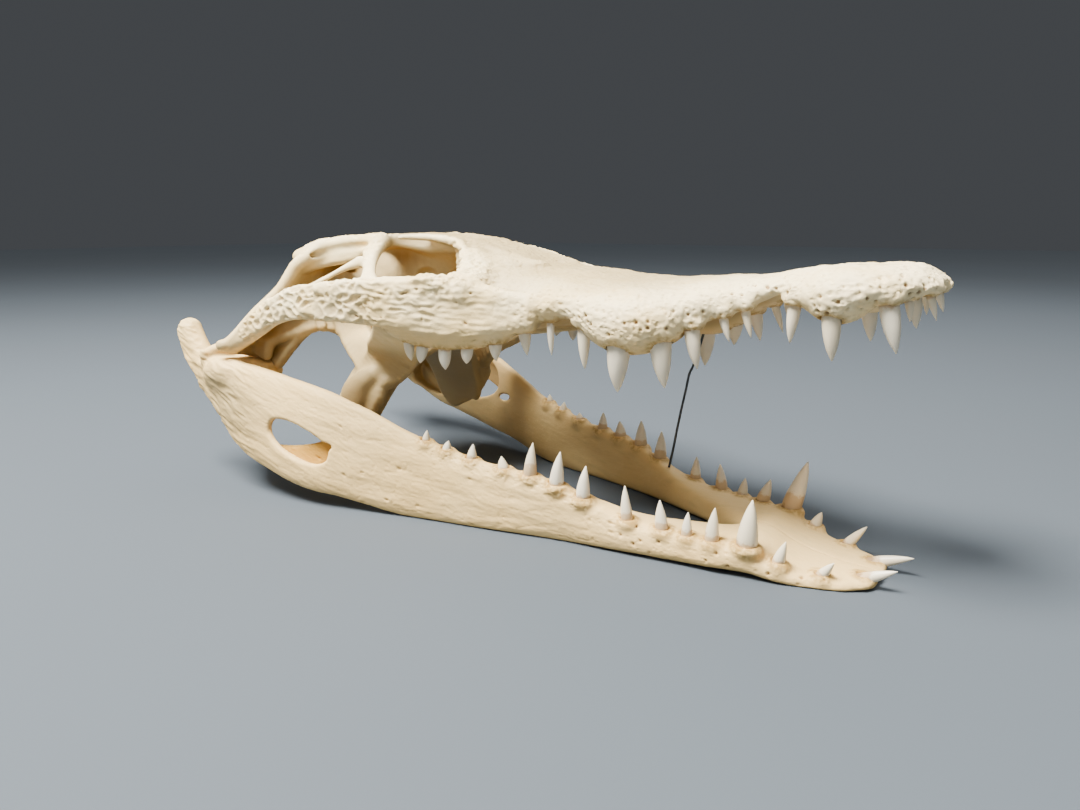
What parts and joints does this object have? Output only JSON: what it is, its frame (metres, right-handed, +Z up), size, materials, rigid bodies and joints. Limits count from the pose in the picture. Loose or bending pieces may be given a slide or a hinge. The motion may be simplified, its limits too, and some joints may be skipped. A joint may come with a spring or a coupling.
{
  "type": "nile crocodile skull",
  "caption": "Skull of a young Nile crocodile, its jaws propped open by a thin wire, resting on the edges of its lower jaw.",
  "frame": {"origin": "middle of the bounding box, at the level of the surface that the lower jaw rests on", "axes": "+X to the tip of the snout, +Y to the animal's left, +Z up"},
  "size_m": [0.3136, 0.132, 0.1096],
  "materials": {
    "bone": "dry, matt, cream-coloured bone with ochre stains in its hollows",
    "steel": "dark, dull steel wire"
  },
  "bodies": {
    "root": {"cranium": "bone", "mandible_left": "bone", "mandible_right": "bone", "prop_wire": "steel"}
  },
  "joints": []
}
